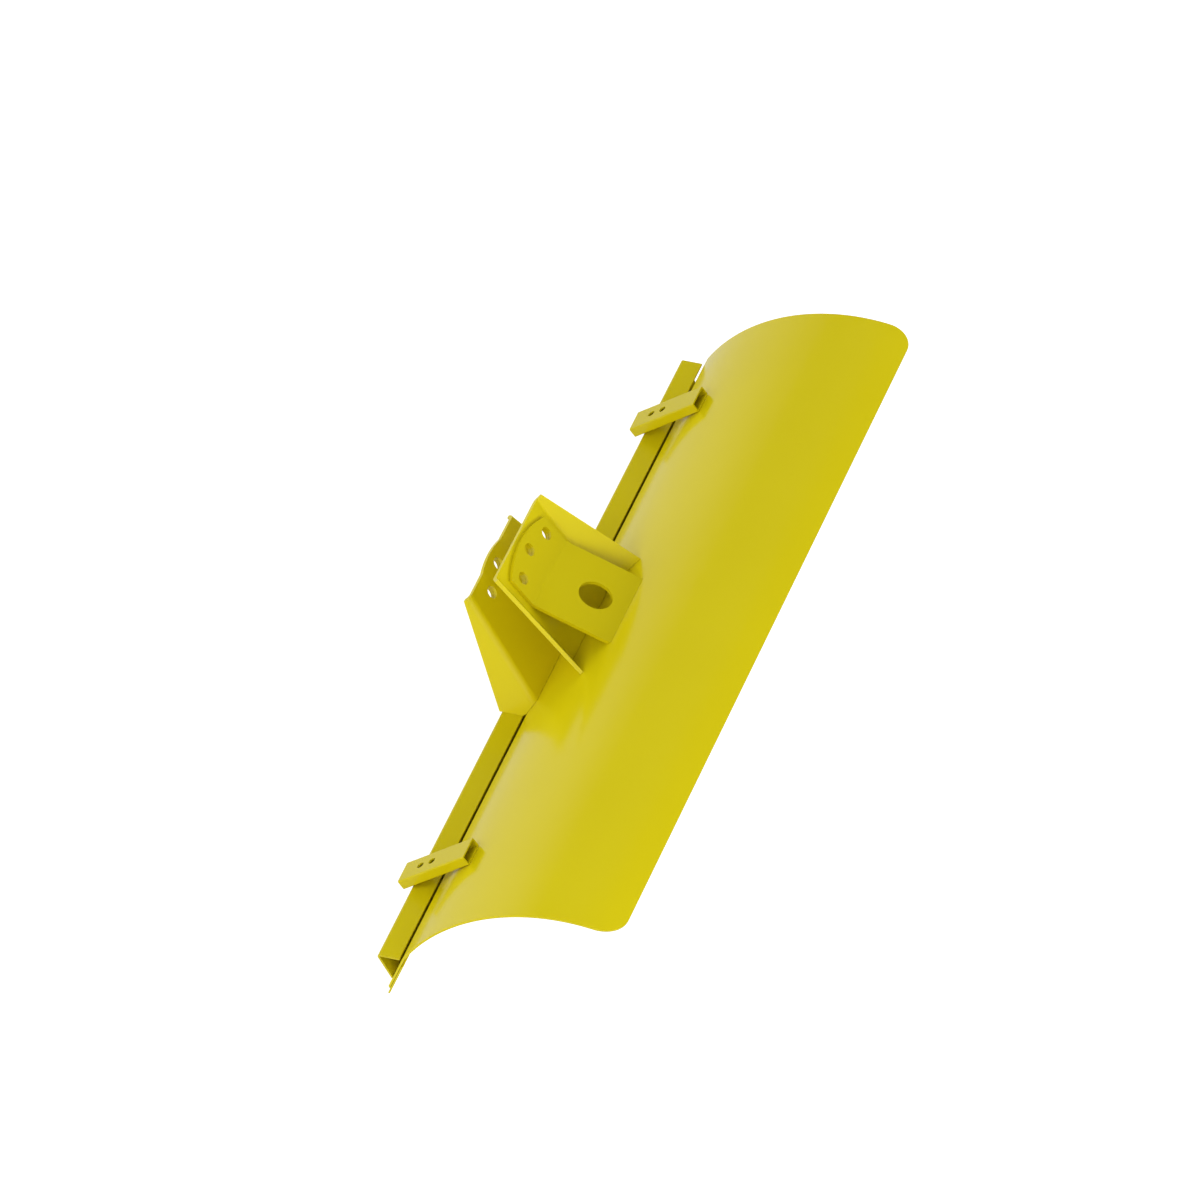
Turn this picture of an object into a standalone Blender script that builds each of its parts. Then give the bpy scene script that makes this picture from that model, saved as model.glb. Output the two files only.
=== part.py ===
"""Dozer blade for a compact loader: a rolled mouldboard with a V stiffener, a wear strip, two shoe sockets
and a centre hitch of two bent trays, each doubled by an index plate.

Units are metres, +Z is up. X runs along the blade, +Y points forward, to the pushing side. The dimensions
below are measured from the point on the ground straight under the kingpin hole of the hitch. The finished
blade is moved back so that the origin is on the ground under the middle of its footprint.
"""

import math

import bmesh
import bpy
from mathutils import Matrix, Vector

# ---- driving dimensions ----------------------------------------------------------------------------
GAP = 0.0003  # left between pieces that are welded face to face
BLADE_LENGTH = 1.200

# mouldboard: a straight lip below a rolled arc, cut from one sheet
SHEET = 0.003
LIP_FOOT = (0.0770, 0.0095)  # (y, z) of the sheet's middle at its bottom edge
LIP_ANGLE = math.radians(120)  # heading of the lip, up and backward from +Y
LIP_LENGTH = 0.0527
LIP_BEND_RADIUS = 0.020
LIP_BEND = math.radians(10.4)
ROLL_RADIUS = 0.2515  # to the middle of the sheet
ROLL = math.radians(73.9)
TOP_CORNER_RADIUS = 0.035

# wear strip, on the front of the lip
STRIP_THICKNESS = 0.0025
STRIP_HEIGHT = 0.051
STRIP_DROP = 0.012  # how far it reaches below the lip

# V stiffener behind the lip
STIFFENER_INSET = 0.005  # kept free at each end for the end weld
STIFFENER_BEND_RADIUS = 0.0020  # to the middle of the sheet
STIFFENER_APEX = (0.0305, 0.0230)  # outer (y, z) corners, before the bend rounds the apex
STIFFENER_TOP = (0.0497, 0.0475)
STIFFENER_FOOT = (0.0686, 0.0164)

# shoe sockets: rectangular tubes that stand almost upright
SOCKET_SPAN = 0.904  # centre to centre
SOCKET_WIDTH = 0.038
SOCKET_DEPTH = 0.014
SOCKET_WALL = 0.002
SOCKET_LENGTH = 0.1087
SOCKET_TOP = 0.1243  # height at which the top front edge meets the mouldboard
SOCKET_LEAN = math.radians(2.1)  # forward, from upright
SOCKET_CORNER_RADIUS = 0.0022
SOCKET_HOLE = 0.010
SOCKET_HOLE_PLACES = (0.0299, 0.0489)  # up from the tube's lower end

# hitch
PLATE = 0.005  # thickness of the trays and of the index plates
BEND_RADIUS = 0.0085  # to the middle of the plate
TONGUE_SLOT = 0.0442  # clear height between the trays
LOWER_TRAY_TOP = 0.0733
KINGPIN_HOLE = 0.021
INDEX_HOLE = 0.017
INDEX_RADIUS = 0.0975
INDEX_STEP = math.radians(27.5)

UPPER_REAR = -0.1190
UPPER_HALF_WIDTHS = (0.0785, 0.0690)  # of the flat base, at the rear edge and at the hitch front
UPPER_WINGS = (0.0110, 0.0600)  # width of the wings at the same two places
UPPER_WING_ANGLE = math.radians(40)
HITCH_FRONT = 0.0340
TRAY_OVERRUN = 1.5  # where the untrimmed trays end, 1 being the hitch front

LOWER_REAR = -0.1110
LOWER_REAR_BULGE = 0.0042  # how far the middle of the rear edge stands out round the index holes
LOWER_REAR_OVERRUN = 0.05  # where the untrimmed tray starts, as a share of its length
LOWER_HALF_WIDTHS = (0.0825, 0.1166)  # of the base, at the same two places
LOWER_CHEEK_ANGLE = math.radians(-80)
LOWER_CHEEK_DEPTH = 0.0560  # before the cheeks are trimmed along their sloping lower edge
LOWER_CHEEK_REAR = 0.0630  # height of that edge at the tray's rear

INDEX_PLATE_WIDTH = 0.128
INDEX_PLATE_REAR = -0.1141
INDEX_PLATE_END_RADIUS = 0.150
INDEX_PLATE_CREASE = -0.056
BRACE_ANGLE = math.radians(31)
BRACE_OVERRUN = 0.160  # length of the brace before the mouldboard trims it
ACCESS_HOLE = 0.045
LOWER_INDEX_PLATE_REAR = -0.1107
LOWER_INDEX_PLATE_FRONT = 0.028

# how finely round shapes are divided
ARC_STEP = math.radians(1.25)
BEND_STEP = math.radians(7.5)
HOLE_SIDES = 48
ARC_SIDES = 192

CUTTER_REACH = 0.400  # how far cutting shapes reach past the pieces
DRILL_LENGTH = 0.030

# ---- places worked out from the dimensions ---------------------------------------------------------
UPPER_TRAY_BOTTOM = LOWER_TRAY_TOP + TONGUE_SLOT
UPPER_TRAY_TOP = UPPER_TRAY_BOTTOM + PLATE
LOWER_TRAY_BOTTOM = LOWER_TRAY_TOP - PLATE
BRACE_BOTTOM = UPPER_TRAY_TOP + GAP
DOUBLER_TOP = LOWER_TRAY_BOTTOM - GAP

YELLOW = (0.62, 0.52, 0.012)
PAINT_ROUGHNESS = 0.38


# ---- helpers ---------------------------------------------------------------------------------------
def clear_scene():
    for obj in list(bpy.data.objects):
        bpy.data.objects.remove(obj, do_unlink=True)


def paint(name):
    material = bpy.data.materials.new(name + "_paint")
    material.use_nodes = True
    shader = material.node_tree.nodes["Principled BSDF"]
    shader.inputs["Base Color"].default_value = (*YELLOW, 1)
    shader.inputs["Roughness"].default_value = PAINT_ROUGHNESS
    shader.inputs["Metallic"].default_value = 0.0
    return material


def add_object(name, bm, material=None):
    bmesh.ops.recalc_face_normals(bm, faces=bm.faces)
    mesh = bpy.data.meshes.new(name)
    bm.to_mesh(mesh)
    bm.free()
    mesh.shade_smooth()
    mesh.set_sharp_from_angle(angle=math.radians(20))
    obj = bpy.data.objects.new(name, mesh)
    bpy.context.scene.collection.objects.link(obj)
    if material:
        mesh.materials.append(material)
    return obj


def prism(name, outline, direction, material=None):
    """A closed outline of 3-D points swept along a straight direction."""
    bm = bmesh.new()
    face = bm.faces.new([bm.verts.new(point) for point in outline])
    swept = bmesh.ops.extrude_face_region(bm, geom=[face])["geom"]
    moved = [item for item in swept if isinstance(item, bmesh.types.BMVert)]
    bmesh.ops.translate(bm, verts=moved, vec=direction)
    return add_object(name, bm, material)


def loft(name, sections, material=None):
    """A skin over a row of closed sections that all have the same number of points."""
    bm = bmesh.new()
    rings = [[bm.verts.new(point) for point in section] for section in sections]
    for ring, following in zip(rings, rings[1:]):
        for i in range(len(ring)):
            bm.faces.new((ring[i - 1], ring[i], following[i], following[i - 1]))
    bm.faces.new(rings[0])
    bm.faces.new(rings[-1])
    return add_object(name, bm, material)


def cylinder(name, centre, axis, radius, length, sides=HOLE_SIDES):
    bm = bmesh.new()
    turn = Vector((0, 0, 1)).rotation_difference(Vector(axis)).to_matrix().to_4x4()
    place = Matrix.Translation(centre) @ turn
    bmesh.ops.create_cone(
        bm, cap_ends=True, segments=sides, radius1=radius, radius2=radius, depth=length, matrix=place
    )
    return add_object(name, bm)


def combine(obj, tool, operation="DIFFERENCE"):
    """Cuts obj with a tool, or keeps what they share. The tool itself is not part of the blade."""
    tool.hide_render = True
    tool.display_type = "WIRE"
    boolean = obj.modifiers.new(tool.name, "BOOLEAN")
    boolean.operation = operation
    boolean.solver = "EXACT"
    boolean.object = tool


def drill(obj, centres, diameter, axis=(0, 0, 1)):
    for number, centre in enumerate(centres, 1):
        name = f"{obj.name}_hole_{diameter * 1000:.0f}_{number}"
        combine(obj, cylinder(name, centre, axis, diameter / 2, DRILL_LENGTH))


def bend_line(start, heading, runs, step):
    """The middle line of a bent sheet, as (point, normal) pairs in 2-D.

    Each run is a straight length, then a bend of a radius through an angle, positive to the left. The
    normal points to the left of the way the line runs.
    """
    place = Vector(start)
    line = []

    def note():
        line.append((place.copy(), Vector((-math.sin(heading), math.cos(heading)))))

    note()
    for length, radius, angle in runs:
        place += length * Vector((math.cos(heading), math.sin(heading)))
        note()
        steps = math.ceil(abs(angle) / step)
        for _ in range(steps):
            turn = angle / steps
            chord = 2 * radius * math.sin(abs(turn) / 2)
            middle = heading + turn / 2
            place += chord * Vector((math.cos(middle), math.sin(middle)))
            heading += turn
            note()
    return line


def sheet_outline(line, thickness):
    """The closed outline of a sheet laid half to each side of its middle line."""
    left = [point + normal * thickness / 2 for point, normal in line]
    right = [point - normal * thickness / 2 for point, normal in line]
    return left + right[::-1]


def along_x(outline, x):
    return [(x, y, z) for y, z in outline]


def along_y(outline, y):
    return [(x, y, z) for x, z in outline]


# ---- mouldboard ------------------------------------------------------------------------------------
def mouldboard_line():
    runs = [(LIP_LENGTH, LIP_BEND_RADIUS, -LIP_BEND), (0, ROLL_RADIUS, -ROLL)]
    return bend_line(LIP_FOOT, LIP_ANGLE, runs, ARC_STEP)


def back_of_mouldboard(clearance):
    """The (y, z) points of the sheet's back, moved backward by a clearance."""
    return [point + normal * (SHEET / 2 + clearance) for point, normal in mouldboard_line()]


def half_length(to_top):
    """Half the blade's length at a distance below the top edge, measured along the sheet."""
    into_corner = max(0.0, TOP_CORNER_RADIUS - to_top)
    return BLADE_LENGTH / 2 - TOP_CORNER_RADIUS + math.sqrt(TOP_CORNER_RADIUS**2 - into_corner**2)


def corner_stations(total):
    """Extra distances from the top edge, evenly spaced round the corner."""
    turns = [math.radians(degrees) for degrees in range(6, 90, 6)]
    return [total - TOP_CORNER_RADIUS * (1 - math.sin(turn)) for turn in turns]


def make_mouldboard():
    line = mouldboard_line()
    travelled = [0.0]
    for (before, _), (after, _) in zip(line, line[1:]):
        travelled.append(travelled[-1] + (after - before).length)
    total = travelled[-1]
    stations = list(zip(travelled, line))
    for distance in corner_stations(total):
        i = max(i for i, value in enumerate(travelled) if value <= distance)
        share = (distance - travelled[i]) / (travelled[i + 1] - travelled[i])
        point = line[i][0].lerp(line[i + 1][0], share)
        normal = line[i][1].lerp(line[i + 1][1], share).normalized()
        stations.append((distance, (point, normal)))
    stations.sort(key=lambda station: station[0])
    sections = []
    for distance, (point, normal) in stations:
        half = half_length(total - distance)
        back = point + normal * SHEET / 2
        front = point - normal * SHEET / 2
        sections.append([(-half, *back), (half, *back), (half, *front), (-half, *front)])
    return loft("mouldboard", sections, paint("mouldboard"))


# ---- wear strip ------------------------------------------------------------------------------------
def make_cutting_edge():
    up = Vector((math.cos(LIP_ANGLE), math.sin(LIP_ANGLE)))
    forward = Vector((math.sin(LIP_ANGLE), -math.cos(LIP_ANGLE)))
    bottom = Vector(LIP_FOOT) - up * STRIP_DROP + forward * (SHEET / 2 + GAP)
    back_top = bottom + up * STRIP_HEIGHT
    outline = [bottom, back_top, back_top + forward * STRIP_THICKNESS, bottom + forward * STRIP_THICKNESS]
    start = along_x(outline, -BLADE_LENGTH / 2)
    return prism("cutting_edge", start, (BLADE_LENGTH, 0, 0), paint("cutting_edge"))


# ---- V stiffener -----------------------------------------------------------------------------------
def stiffener_runs():
    """Start, heading and runs of its middle line, from the foot over the apex to the upper edge."""
    foot, apex, top = Vector(STIFFENER_FOOT), Vector(STIFFENER_APEX), Vector(STIFFENER_TOP)
    lower, upper = apex - foot, top - apex
    heading = math.atan2(lower.y, lower.x)
    turn = math.atan2(upper.y, upper.x) - heading
    inward = Vector((lower.y, -lower.x)).normalized() * SHEET / 2
    outer_radius = STIFFENER_BEND_RADIUS + SHEET / 2
    setback = outer_radius * math.tan(abs(turn) / 2)
    runs = [
        (lower.length - setback, STIFFENER_BEND_RADIUS, turn),
        (upper.length - setback, STIFFENER_BEND_RADIUS, 0),
    ]
    return foot + inward, heading, runs


def make_stiffener():
    start, heading, runs = stiffener_runs()
    outline = sheet_outline(bend_line(start, heading, runs, BEND_STEP), SHEET)
    half = BLADE_LENGTH / 2 - STIFFENER_INSET
    return prism("bottom_stiffener", along_x(outline, -half), (2 * half, 0, 0), paint("bottom_stiffener"))


# ---- shoe sockets ----------------------------------------------------------------------------------
def rounded_rectangle(width, depth, radius):
    """An outline round the origin, with corners of a radius."""
    outline = []
    for quarter in range(4):
        sign_x = (1, -1, -1, 1)[quarter]
        sign_y = (1, 1, -1, -1)[quarter]
        centre = Vector((sign_x * (width / 2 - radius), sign_y * (depth / 2 - radius)))
        for part in range(4):
            angle = math.pi / 2 * (quarter + part / 3)
            outline.append(centre + radius * Vector((math.cos(angle), math.sin(angle))))
    return outline


def back_at_height(height):
    """The y of the mouldboard's back at a height, less a welding gap."""
    back = back_of_mouldboard(GAP)
    below, above = next(pair for pair in zip(back, back[1:]) if pair[0].y <= height <= pair[1].y)
    return below.lerp(above, (height - below.y) / (above.y - below.y)).x


def make_shoe_socket(name, x):
    """A tube laid out below and behind the middle of its top front edge, then leant against the blade."""
    lean = Matrix.Rotation(-SOCKET_LEAN, 4, "X")
    place = Matrix.Translation((x, back_at_height(SOCKET_TOP), SOCKET_TOP)) @ lean
    middle = -SOCKET_DEPTH / 2
    outer = rounded_rectangle(SOCKET_WIDTH, SOCKET_DEPTH, SOCKET_CORNER_RADIUS)
    inner = rounded_rectangle(
        SOCKET_WIDTH - 2 * SOCKET_WALL, SOCKET_DEPTH - 2 * SOCKET_WALL, SOCKET_CORNER_RADIUS - SOCKET_WALL
    )
    bm = bmesh.new()
    rings = []
    for outline in (outer, inner):
        for z in (-SOCKET_LENGTH, 0):
            corners = [place @ Vector((point.x, middle + point.y, z)) for point in outline]
            rings.append([bm.verts.new(corner) for corner in corners])
    outer_bottom, outer_top, inner_bottom, inner_top = rings
    loop = (outer_bottom, outer_top, inner_top, inner_bottom)
    for ring, following in zip(loop, loop[1:] + loop[:1]):
        for i in range(len(ring)):
            bm.faces.new((ring[i - 1], ring[i], following[i], following[i - 1]))
    socket = add_object(name, bm, paint(name))
    centres = [place @ Vector((0, middle, up - SOCKET_LENGTH)) for up in SOCKET_HOLE_PLACES]
    drill(socket, centres, SOCKET_HOLE, axis=lean.to_3x3() @ Vector((0, 1, 0)))
    return socket


# ---- hitch -----------------------------------------------------------------------------------------
def tray_section(half_width, wing, angle, z):
    """The closed (x, z) outline of a tray whose two wings are bent up by an angle, or down if negative.

    half_width is that of the middle line's sharp corner and wing is the length beyond it.
    """
    setback = BEND_RADIUS * math.tan(abs(angle) / 2)
    tip = Vector((-half_width, z)) + wing * Vector((-math.cos(angle), math.sin(angle)))
    runs = [
        (wing - setback, BEND_RADIUS, angle),
        (2 * (half_width - setback), BEND_RADIUS, angle),
        (wing - setback, BEND_RADIUS, 0),
    ]
    return sheet_outline(bend_line(tip, -angle, runs, BEND_STEP), PLATE)


def tray(name, rear, half_widths, wings, angle, z, rear_overrun=0.0):
    """A tray that changes evenly from its rear edge to the hitch front, and runs on to be trimmed."""
    sections = []
    for share in (-rear_overrun, TRAY_OVERRUN):
        half_width = half_widths[0] + share * (half_widths[1] - half_widths[0])
        wing = wings[0] + share * (wings[1] - wings[0])
        y = rear + share * (HITCH_FRONT - rear)
        sections.append(along_y(tray_section(half_width, wing, angle, z), y))
    return loft(name, sections, paint(name))


def index_holes(z):
    """The middle hole and one to each side, on an arc round the kingpin."""
    places = []
    for step in (-1, 0, 1):
        angle = step * INDEX_STEP
        places.append((INDEX_RADIUS * math.sin(angle), -INDEX_RADIUS * math.cos(angle), z))
    return places


def blade_body(name, foot=(0, 0)):
    """All the space in front of the mouldboard's back and of the stiffener, less a welding gap.

    Below the stiffener's apex the space ends on the line from the apex to its foot, a (y, z) point.
    """
    reach = CUTTER_REACH
    back = back_of_mouldboard(GAP)
    lifted = Vector((STIFFENER_TOP[0] - STIFFENER_APEX[0], STIFFENER_TOP[1] - STIFFENER_APEX[1]))
    outward = Vector((-lifted.y, lifted.x)).normalized() * GAP
    apex = Vector(STIFFENER_APEX) + outward
    top = Vector(STIFFENER_TOP) + outward
    above = [point for point in back if point.y > top.y + SHEET]
    far_top, far_bottom = Vector((reach, above[-1].y)), Vector((reach, -reach))
    outline = [Vector(foot), apex, top, *above, far_top, far_bottom]
    return prism(name, along_x(outline, -reach), (2 * reach, 0, 0))


def make_upper_tray():
    z = UPPER_TRAY_BOTTOM + PLATE / 2
    obj = tray("upper_hitch_tray", UPPER_REAR, UPPER_HALF_WIDTHS, UPPER_WINGS, UPPER_WING_ANGLE, z)
    combine(obj, blade_body("upper_tray_trim"))
    drill(obj, index_holes(z), INDEX_HOLE)
    drill(obj, [(0, 0, z)], KINGPIN_HOLE)
    return obj


def behind_lower_tray(name):
    """All the space behind the lower tray's rear edge: straight, with a shallow arc in the middle."""
    radius = INDEX_PLATE_END_RADIUS
    centre = LOWER_REAR - LOWER_REAR_BULGE + radius
    turn = math.acos((centre - LOWER_REAR) / radius)
    steps = math.ceil(2 * turn / ARC_STEP)
    outline = [(-CUTTER_REACH, LOWER_REAR)]
    for i in range(steps + 1):
        angle = turn * (2 * i / steps - 1)
        outline.append((radius * math.sin(angle), centre - radius * math.cos(angle)))
    outline += [(CUTTER_REACH, LOWER_REAR), (CUTTER_REACH, -CUTTER_REACH), (-CUTTER_REACH, -CUTTER_REACH)]
    return prism(name, [(x, y, -CUTTER_REACH) for x, y in outline], (0, 0, 2 * CUTTER_REACH))


def make_lower_tray():
    z = LOWER_TRAY_BOTTOM + PLATE / 2
    cheeks = (LOWER_CHEEK_DEPTH, LOWER_CHEEK_DEPTH)
    shape = (LOWER_HALF_WIDTHS, cheeks, LOWER_CHEEK_ANGLE)
    obj = tray("lower_hitch_tray", LOWER_REAR, *shape, z, LOWER_REAR_OVERRUN)
    combine(obj, behind_lower_tray("lower_tray_rear"))
    # the trim goes on past the tray's rear, so that it also cuts the cheeks' sloping lower edge
    apex, rear = Vector(STIFFENER_APEX), Vector((LOWER_REAR, LOWER_CHEEK_REAR))
    combine(obj, blade_body("lower_tray_trim", 2 * rear - apex))
    drill(obj, index_holes(z), INDEX_HOLE)
    drill(obj, [(0, 0, z)], KINGPIN_HOLE)
    return obj


def rear_arc(name, rear):
    """A wide upright cylinder whose surface is the round rear end of an index plate."""
    centre = (0, rear + INDEX_PLATE_END_RADIUS, UPPER_TRAY_TOP)
    return cylinder(name, centre, (0, 0, 1), INDEX_PLATE_END_RADIUS, CUTTER_REACH, sides=ARC_SIDES)


def make_upper_index_plate():
    z = BRACE_BOTTOM + PLATE / 2
    rear = INDEX_PLATE_REAR - PLATE
    setback = BEND_RADIUS * math.tan(BRACE_ANGLE / 2)
    runs = [
        (INDEX_PLATE_CREASE - rear - setback, BEND_RADIUS, BRACE_ANGLE),
        (BRACE_OVERRUN, BEND_RADIUS, 0),
    ]
    outline = sheet_outline(bend_line((rear, z), 0, runs, BEND_STEP), PLATE)
    name = "upper_index_plate"
    half = INDEX_PLATE_WIDTH / 2
    obj = prism(name, along_x(outline, -half), (2 * half, 0, 0), paint(name))
    combine(obj, rear_arc("upper_index_arc", INDEX_PLATE_REAR), "INTERSECT")
    combine(obj, blade_body("upper_index_trim"))
    drill(obj, index_holes(z), INDEX_HOLE)
    centre = (0, 0, z - INDEX_PLATE_CREASE * math.tan(BRACE_ANGLE))
    normal = (0, -math.sin(BRACE_ANGLE), math.cos(BRACE_ANGLE))
    drill(obj, [centre], ACCESS_HOLE, axis=normal)
    return obj


def make_lower_index_plate():
    half = INDEX_PLATE_WIDTH / 2
    rear, front = LOWER_INDEX_PLATE_REAR - PLATE, LOWER_INDEX_PLATE_FRONT
    corners = [(-half, rear), (half, rear), (half, front), (-half, front)]
    name = "lower_index_plate"
    outline = [(x, y, DOUBLER_TOP) for x, y in corners]
    obj = prism(name, outline, (0, 0, -PLATE), paint(name))
    combine(obj, rear_arc("lower_index_arc", LOWER_INDEX_PLATE_REAR), "INTERSECT")
    z = DOUBLER_TOP - PLATE / 2
    drill(obj, index_holes(z), INDEX_HOLE)
    drill(obj, [(0, 0, z)], KINGPIN_HOLE)
    return obj


# ---- the whole blade -------------------------------------------------------------------------------
def centre_footprint():
    """Hangs every piece on an empty that brings the middle of the blade's depth over the origin."""
    top_edge, normal = mouldboard_line()[-1]
    foremost = top_edge.x + abs(normal.x) * SHEET / 2
    pieces = list(bpy.data.objects)
    base = bpy.data.objects.new("blade", None)
    bpy.context.scene.collection.objects.link(base)
    base.location.y = -(foremost + UPPER_REAR) / 2
    for piece in pieces:
        piece.parent = base


clear_scene()
make_mouldboard()
make_cutting_edge()
make_stiffener()
make_shoe_socket("right_shoe_socket", SOCKET_SPAN / 2)
make_shoe_socket("left_shoe_socket", -SOCKET_SPAN / 2)
make_upper_tray()
make_upper_index_plate()
make_lower_tray()
make_lower_index_plate()
centre_footprint()
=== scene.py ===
"""Looks of the dozer blade: every sheet gets rounded edges and a yellow enamel, in a white studio.

Units are metres. The blade stands on the ground along X, with its hitch on the -Y side.
"""

import math

import bmesh
import bpy
from mathutils import Matrix, Vector


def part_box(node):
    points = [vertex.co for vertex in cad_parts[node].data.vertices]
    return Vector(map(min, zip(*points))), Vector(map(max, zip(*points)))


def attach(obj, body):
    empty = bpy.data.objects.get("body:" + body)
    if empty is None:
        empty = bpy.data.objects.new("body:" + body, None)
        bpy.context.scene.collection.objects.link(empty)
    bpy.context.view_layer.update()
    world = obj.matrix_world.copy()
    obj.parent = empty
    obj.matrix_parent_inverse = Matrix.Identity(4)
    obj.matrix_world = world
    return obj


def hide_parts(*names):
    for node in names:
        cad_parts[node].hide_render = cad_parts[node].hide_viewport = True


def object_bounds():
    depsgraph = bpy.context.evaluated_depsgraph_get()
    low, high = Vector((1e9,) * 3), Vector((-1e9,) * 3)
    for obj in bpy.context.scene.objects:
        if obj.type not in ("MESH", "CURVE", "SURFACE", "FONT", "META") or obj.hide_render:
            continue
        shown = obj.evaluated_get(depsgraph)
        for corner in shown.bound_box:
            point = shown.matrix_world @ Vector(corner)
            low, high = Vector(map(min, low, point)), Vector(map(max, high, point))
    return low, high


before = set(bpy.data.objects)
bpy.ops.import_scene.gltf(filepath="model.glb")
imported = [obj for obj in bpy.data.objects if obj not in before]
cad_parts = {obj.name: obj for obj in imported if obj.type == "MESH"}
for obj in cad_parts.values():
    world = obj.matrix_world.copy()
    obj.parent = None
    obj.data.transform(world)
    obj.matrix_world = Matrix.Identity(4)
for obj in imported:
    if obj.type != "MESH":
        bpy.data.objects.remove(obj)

cad_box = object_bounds()

# ---- sheet metal -----------------------------------------------------------------------------------
EDGE_RADIUS = {
    "mouldboard": 0.0007,
    "cutting_edge": 0.0005,
    "bottom_stiffener": 0.0006,
    "right_shoe_socket": 0.0003,
    "left_shoe_socket": 0.0003,
    "upper_hitch_tray": 0.0008,
    "upper_index_plate": 0.0008,
    "lower_hitch_tray": 0.0008,
    "lower_index_plate": 0.0008,
}
EDGE_SEGMENTS = 3
SHARP = math.radians(25)  # edges that turn less are part of a bend
FLAT = math.radians(0.05)  # faces that turn less lie in one plane
MERGE_DISTANCE = 1e-6
FACE_WEIGHT = 100  # of 100: large faces shade flat right up to their rounded edges

# ---- weld beads along the mouldboard's lip ---------------------------------------------------------
BEAD_CROWN = 0.0004  # how far a bead bulges at its middle
BEAD_RIPPLE = 0.00025
BEAD_PITCH = 0.004  # from one ripple to the next
BEAD_STEP = 0.001  # from one ring of points to the next
BEAD_SEGMENTS = 6
STRIP_WELD_LEG = 0.003  # reach down the wear strip's back

# ---- paint -----------------------------------------------------------------------------------------
YELLOW = (0.660, 0.556, 0.004)
DEEP_YELLOW = (0.645, 0.540, 0.003)
PIECE_PAINTED_SHADE = {  # painted light and shade: how much lighter or darker the same enamel is made on some pieces, for the light each one catches
    "mouldboard": 1.09,
    "bottom_stiffener": 0.96,
    "upper_hitch_tray": 1.10,
    "upper_index_plate": 0.96,
    "lower_hitch_tray": 1.06,
}
GLOSS = (0.15, 0.19)  # roughness, from the glossier to the duller spots
REFRACTION = 1.36
DRIFT_SCALE = 5.0  # noise waves to a metre
DRIFT_DETAIL = 2.0
MOTTLE_SCALE = 60.0  # noise waves to a metre
PEEL_WIDTH = 0.0030  # of one wave
PEEL_HEIGHT = 0.000002
PEEL_DETAIL = 1.0

# ---- floor, lights and camera ----------------------------------------------------------------------
FLOOR_SIZE = 14.0
FLOOR_DROP = 0.001  # kept free under the blade
FLOOR_GLOW = (0.56, 0.08)  # painted light: the floor's own glow near the blade and far away, where this painted pool of light has faded
FLOOR_POOL = (0.3, 2.2)  # distances between which it fades
FLOOR_WHITE = 0.30
FLOOR_GRAIN_SCALE = 400.0  # noise waves to a metre
FLOOR_GRAIN_SHADE = 0.98
FLOOR_ROUGHNESS = 0.9
SKY_LIGHT = 0.37
SKY_REFLECTION = (0.07, 0.90)  # on the blade's left and on its right
SKY_TURN = (-0.2, 0.5)  # the x of the directions between which it changes
SOFTBOX_SIZE = 2.5
SOFTBOXES = {  # name: place and power
    "left_softbox": (Vector((-4.0, -0.5, 1.0)), 52),
    "right_softbox": (Vector((3.2, -0.2, 2.2)), 33),
    "rear_right_softbox": (Vector((3.0, -3.0, 1.0)), 69),
    "rear_left_softbox": (Vector((-3.0, -3.0, 1.0)), 26),
    "front_softbox": (Vector((0.0, 2.4, 3.4)), 82),
}
LENS = 340.9
SENSOR = 36.0
CAMERA_AZIMUTH = math.radians(63.40)
CAMERA_ELEVATION = math.radians(37.56)
CAMERA_ROLL = math.radians(66.28)
CAMERA_DISTANCE = 14.293
CAMERA_REACH = 100.0
AIM_OFFSET = Vector((0.0016, -0.0042, -0.0114))  # from the middle of the blade's box


# ---- sheet pieces ----------------------------------------------------------------------------------
def whole_faces(node):
    """A bmesh of a CAD node with its corners merged and its flat faces put back together."""
    bm = bmesh.new()
    bm.from_mesh(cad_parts[node].data)
    bmesh.ops.remove_doubles(bm, verts=bm.verts, dist=MERGE_DISTANCE)
    bmesh.ops.dissolve_limit(bm, angle_limit=FLAT, verts=bm.verts, edges=bm.edges)
    return bm


def round_edges(bm, radius):
    sharp = [edge for edge in bm.edges if edge.is_manifold and edge.calc_face_angle() > SHARP]
    bmesh.ops.bevel(
        bm,
        geom=sharp,
        affect="EDGES",
        offset=radius,
        offset_type="OFFSET",
        segments=EDGE_SEGMENTS,
        profile=0.5,
        clamp_overlap=True,
        miter_outer="ARC",
    )


def add_piece(name, bm, material):
    """Turns a bmesh into a painted piece of the blade."""
    mesh = bpy.data.meshes.new(name)
    bm.to_mesh(mesh)
    bm.free()
    mesh.shade_smooth()
    mesh.materials.append(material)
    piece = bpy.data.objects.new(name, mesh)
    bpy.context.scene.collection.objects.link(piece)
    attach(piece, "root")
    return piece


def make_sheet(node, material):
    bm = whole_faces(node)
    round_edges(bm, EDGE_RADIUS[node])
    piece = add_piece("painted_" + node, bm, material)
    normals = piece.modifiers.new("face_normals", "WEIGHTED_NORMAL")
    normals.weight = FACE_WEIGHT
    normals.keep_sharp = True
    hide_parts(node)


# ---- weld beads ------------------------------------------------------------------------------------
def lip_corners():
    """The back and front corners of the mouldboard's lower edge, as (y, z)."""
    bm = whole_faces("mouldboard")
    edge_face = min(bm.faces, key=lambda face: face.calc_center_median().z)
    corners = sorted((vertex.co.yz for vertex in edge_face.verts), key=lambda corner: corner.x)
    bm.free()
    return corners[0], corners[-1]


def foot_groove():
    """The groove between the stiffener's foot and the lip: its root and its two outer corners."""
    places = [vertex.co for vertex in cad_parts["bottom_stiffener"].data.vertices]
    root = max(places, key=lambda place: place.y).yz
    foot = min(places, key=lambda place: place.z).yz
    back, front = lip_corners()
    across = (front - back).normalized()
    return root, foot, foot + across * (back - foot).dot(across)


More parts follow.
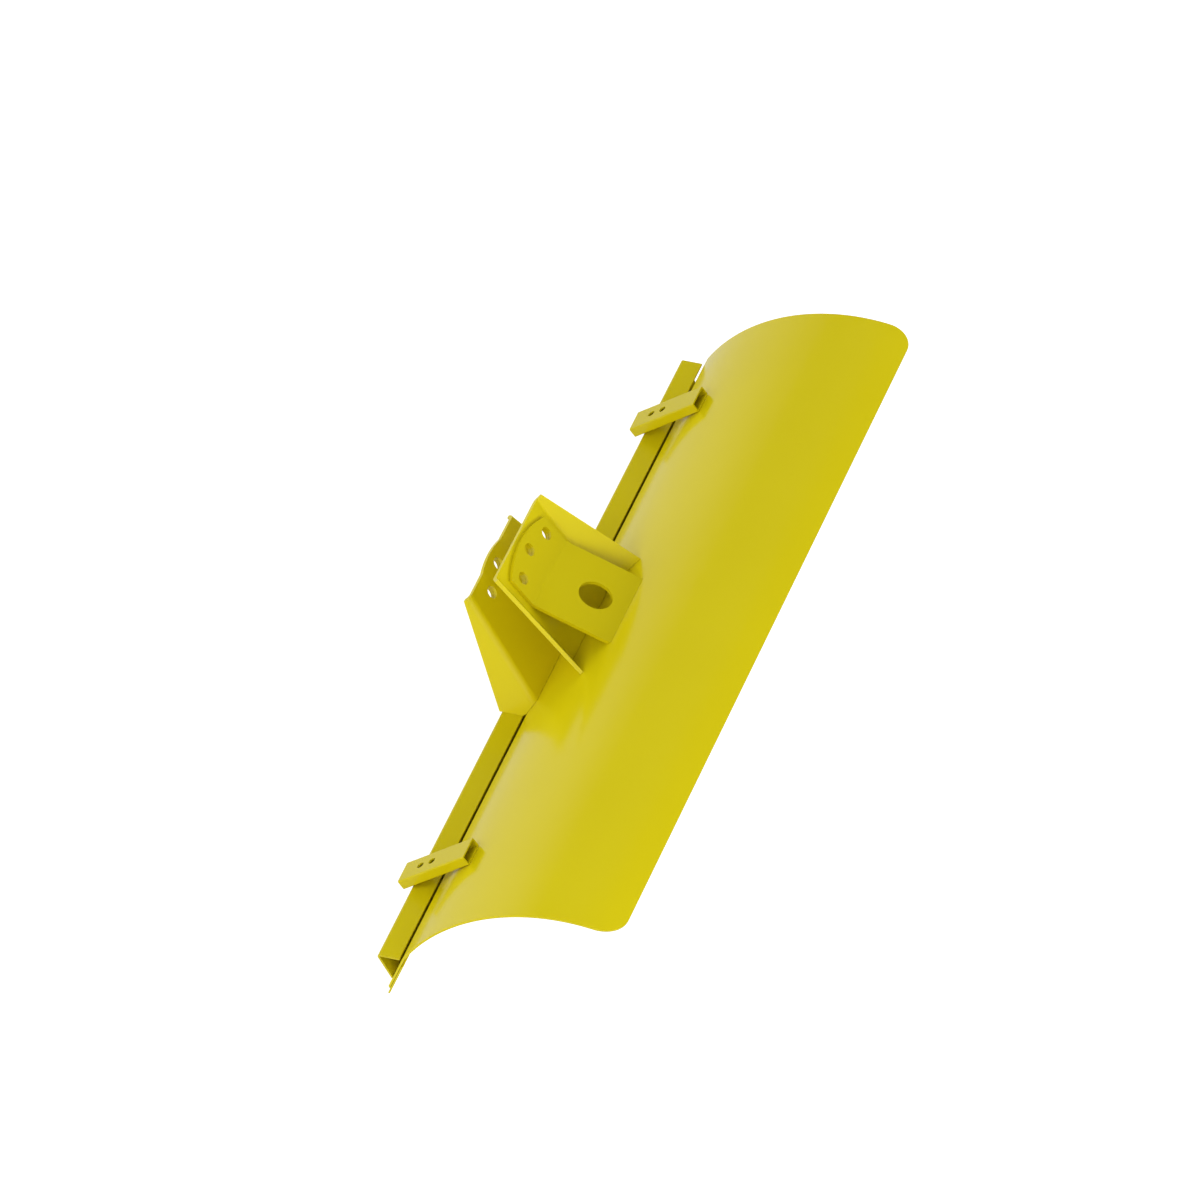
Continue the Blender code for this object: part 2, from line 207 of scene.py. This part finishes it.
def strip_groove():
    """The corner under the lip's lower edge, where it stands on the wear strip's back."""
    places = [vertex.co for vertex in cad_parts["cutting_edge"].data.vertices]
    strip_foot = min(places, key=lambda place: place.z).yz
    back, front = lip_corners()
    across = (front - back).normalized()
    root = front + across * (strip_foot - front).dot(across)
    return root, back, root + (strip_foot - root).normalized() * STRIP_WELD_LEG


def make_bead(name, node, groove, material):
    """A rippled bead in a groove, as long as a node. The groove is its root and its two outer corners."""
    root, start, end = groove
    chord = end - start
    outward = Vector((chord.y, -chord.x)).normalized()
    if outward.dot(root - start) > 0:
        outward = -outward
    low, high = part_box(node)
    steps = round((high.x - low.x) / BEAD_STEP)
    bm = bmesh.new()
    rings = []
    for i in range(steps + 1):
        x = low.x + (high.x - low.x) * i / steps
        crown = BEAD_CROWN + BEAD_RIPPLE * abs(math.sin(math.pi * x / BEAD_PITCH))
        ring = [bm.verts.new((x, *root))]
        for part in range(BEAD_SEGMENTS + 1):
            share = part / BEAD_SEGMENTS
            point = start + chord * share + outward * crown * math.sin(math.pi * share)
            ring.append(bm.verts.new((x, *point)))
        rings.append(ring)
    for ring, following in zip(rings, rings[1:]):
        for i in range(len(ring)):
            bm.faces.new((ring[i - 1], ring[i], following[i], following[i - 1]))
    bm.faces.new(rings[0])
    bm.faces.new(rings[-1])
    bmesh.ops.recalc_face_normals(bm, faces=bm.faces)
    add_piece(name, bm, material)


# ---- materials -------------------------------------------------------------------------------------
class Graph:
    """A short way to add and join shader nodes."""

    def __init__(self, owner):
        owner.use_nodes = True
        self.tree = owner.node_tree

    def find(self, name):
        return self.tree.nodes[name]

    def add(self, kind, **settings):
        node = self.tree.nodes.new(kind)
        for name, value in settings.items():
            setattr(node, name, value)
        return node

    def join(self, source, target):
        self.tree.links.new(source, target)

    def noise(self, scale, detail=3.0):
        place = self.add("ShaderNodeNewGeometry")
        noise = self.add("ShaderNodeTexNoise")
        noise.inputs["Scale"].default_value = scale
        noise.inputs["Detail"].default_value = detail
        self.join(place.outputs["Position"], noise.inputs["Vector"])
        return noise.outputs["Fac"]

    def spread(self, value, low, high, start=0.3, end=0.7):
        span = self.add("ShaderNodeMapRange")
        span.inputs["From Min"].default_value = start
        span.inputs["From Max"].default_value = end
        span.inputs["To Min"].default_value = low
        span.inputs["To Max"].default_value = high
        self.join(value, span.inputs["Value"])
        return span.outputs["Result"]

    def blend(self, factor, first, second):
        mix = self.add("ShaderNodeMix", data_type="RGBA")
        self.join(factor, mix.inputs["Factor"])
        mix.inputs["A"].default_value = (*first, 1)
        mix.inputs["B"].default_value = (*second, 1)
        return mix.outputs["Result"]

    def seen_or(self, strength):
        """1 where the camera looks straight at it, and a strength for all other light."""
        ray = self.add("ShaderNodeLightPath")
        most = self.add("ShaderNodeMath", operation="MAXIMUM")
        self.join(ray.outputs["Is Camera Ray"], most.inputs[0])
        self.join(strength, most.inputs[1])
        return most.outputs["Value"]


def shaded(colour, shade):
    return tuple(channel * shade for channel in colour)


def yellow_enamel(shade):
    """Glossy enamel: a slow drift of colour, a mottled gloss and a fine orange peel. A shade other than 1
    makes a lighter or darker copy of it: painted light and shade.
    """
    material = bpy.data.materials.new("yellow_enamel")
    graph = Graph(material)
    shader = graph.find("Principled BSDF")
    drift = graph.noise(DRIFT_SCALE, DRIFT_DETAIL)
    colour = graph.blend(graph.spread(drift, 0, 1), shaded(YELLOW, shade), shaded(DEEP_YELLOW, shade))
    graph.join(colour, shader.inputs["Base Color"])
    mottle = graph.noise(MOTTLE_SCALE)
    graph.join(graph.spread(mottle, *GLOSS), shader.inputs["Roughness"])
    shader.inputs["IOR"].default_value = REFRACTION
    peel = graph.noise(1 / PEEL_WIDTH, PEEL_DETAIL)
    bump = graph.add("ShaderNodeBump")
    bump.inputs["Distance"].default_value = PEEL_HEIGHT
    graph.join(peel, bump.inputs["Height"])
    graph.join(bump.outputs["Normal"], shader.inputs["Normal"])
    return material


def floor_paper():
    """White paper that glows softly and looks pure white. Its glow is painted light, a pool that fades
    away from the blade. It can only be seen from above.
    """
    material = bpy.data.materials.new("pale_paper")
    graph = Graph(material)
    shader = graph.find("Principled BSDF")
    grain = graph.noise(FLOOR_GRAIN_SCALE)
    white = (FLOOR_WHITE, FLOOR_WHITE, FLOOR_WHITE)
    colour = graph.blend(graph.spread(grain, 0, 1), white, shaded(white, FLOOR_GRAIN_SHADE))
    graph.join(colour, shader.inputs["Base Color"])
    shader.inputs["Roughness"].default_value = FLOOR_ROUGHNESS
    shader.inputs["Specular IOR Level"].default_value = 0.0
    shader.inputs["Emission Color"].default_value = (1, 1, 1, 1)
    spot = graph.add("ShaderNodeNewGeometry")
    distance = graph.add("ShaderNodeVectorMath", operation="LENGTH")
    graph.join(spot.outputs["Position"], distance.inputs[0])
    glow = graph.spread(distance.outputs["Value"], *FLOOR_GLOW, *FLOOR_POOL)
    graph.join(graph.seen_or(glow), shader.inputs["Emission Strength"])
    clear = graph.add("ShaderNodeBsdfTransparent")
    mix = graph.add("ShaderNodeMixShader")
    graph.join(spot.outputs["Backfacing"], mix.inputs["Fac"])
    graph.join(shader.outputs["BSDF"], mix.inputs[1])
    graph.join(clear.outputs["BSDF"], mix.inputs[2])
    graph.join(mix.outputs["Shader"], graph.find("Material Output").inputs["Surface"])
    return material


# ---- studio ----------------------------------------------------------------------------------------
def make_floor():
    bm = bmesh.new()
    bmesh.ops.create_grid(bm, x_segments=1, y_segments=1, size=FLOOR_SIZE / 2)
    mesh = bpy.data.meshes.new("floor")
    bm.to_mesh(mesh)
    bm.free()
    mesh.materials.append(floor_paper())
    floor = bpy.data.objects.new("floor", mesh)
    floor.location.z = cad_box[0][2] - FLOOR_DROP
    bpy.context.scene.collection.objects.link(floor)


def make_softbox(name, place, power):
    """A round lamp aimed at the blade. It lights the paint without showing as a highlight."""
    data = bpy.data.lights.new(name, "AREA")
    data.shape = "DISK"
    data.size = SOFTBOX_SIZE
    data.energy = power
    lamp = bpy.data.objects.new(name, data)
    lamp.location = place
    lamp.rotation_euler = (box_middle() - place).to_track_quat("-Z", "Y").to_euler()
    lamp.visible_glossy = False
    bpy.context.scene.collection.objects.link(lamp)


def make_sky():
    """Pure white to look at, softer as a light, and dim where the paint mirrors it."""
    world = bpy.data.worlds.new("studio")
    graph = Graph(world)
    background = graph.find("Background")
    background.inputs["Color"].default_value = (1, 1, 1, 1)
    ray = graph.add("ShaderNodeLightPath")
    outward = graph.add("ShaderNodeTexCoord")
    across = graph.add("ShaderNodeSeparateXYZ")
    graph.join(outward.outputs["Generated"], across.inputs["Vector"])
    mirrored = graph.spread(across.outputs["X"], *SKY_REFLECTION, *SKY_TURN)
    glow = graph.add("ShaderNodeMix")
    graph.join(ray.outputs["Is Glossy Ray"], glow.inputs["Factor"])
    glow.inputs["A"].default_value = SKY_LIGHT
    graph.join(mirrored, glow.inputs["B"])
    graph.join(graph.seen_or(glow.outputs["Result"]), background.inputs["Strength"])
    bpy.context.scene.world = world


def box_middle():
    return (Vector(cad_box[0]) + Vector(cad_box[1])) / 2


def make_camera():
    """A long lens, rolled so that the blade stands steeply across the frame."""
    data = bpy.data.cameras.new("camera")
    data.lens = LENS
    data.sensor_width = SENSOR
    data.clip_end = CAMERA_REACH
    camera = bpy.data.objects.new("camera", data)
    azimuth = Matrix.Rotation(CAMERA_AZIMUTH, 4, "Z")
    tilt = Matrix.Rotation(math.pi / 2 - CAMERA_ELEVATION, 4, "X")
    roll = Matrix.Rotation(CAMERA_ROLL, 4, "Z")
    back_off = Matrix.Translation((0, 0, CAMERA_DISTANCE))
    camera.matrix_world = Matrix.Translation(box_middle() + AIM_OFFSET) @ azimuth @ tilt @ roll @ back_off
    bpy.context.scene.collection.objects.link(camera)
    bpy.context.scene.camera = camera


# ---- the scene -------------------------------------------------------------------------------------
enamel = yellow_enamel(1.0)
for node_name in EDGE_RADIUS:
    # listed pieces get a lighter or darker copy of the same enamel: painted light and shade
    coat = yellow_enamel(PIECE_PAINTED_SHADE[node_name]) if node_name in PIECE_PAINTED_SHADE else enamel
    make_sheet(node_name, coat)
make_bead("foot_weld", "bottom_stiffener", foot_groove(), enamel)
make_bead("strip_weld", "cutting_edge", strip_groove(), enamel)

make_floor()
make_sky()
for softbox, (place, power) in SOFTBOXES.items():
    make_softbox(softbox, place, power)
make_camera()

view = bpy.context.scene.view_settings
view.view_transform = "Standard"
view.look = "None"

bpy.context.view_layer.update()
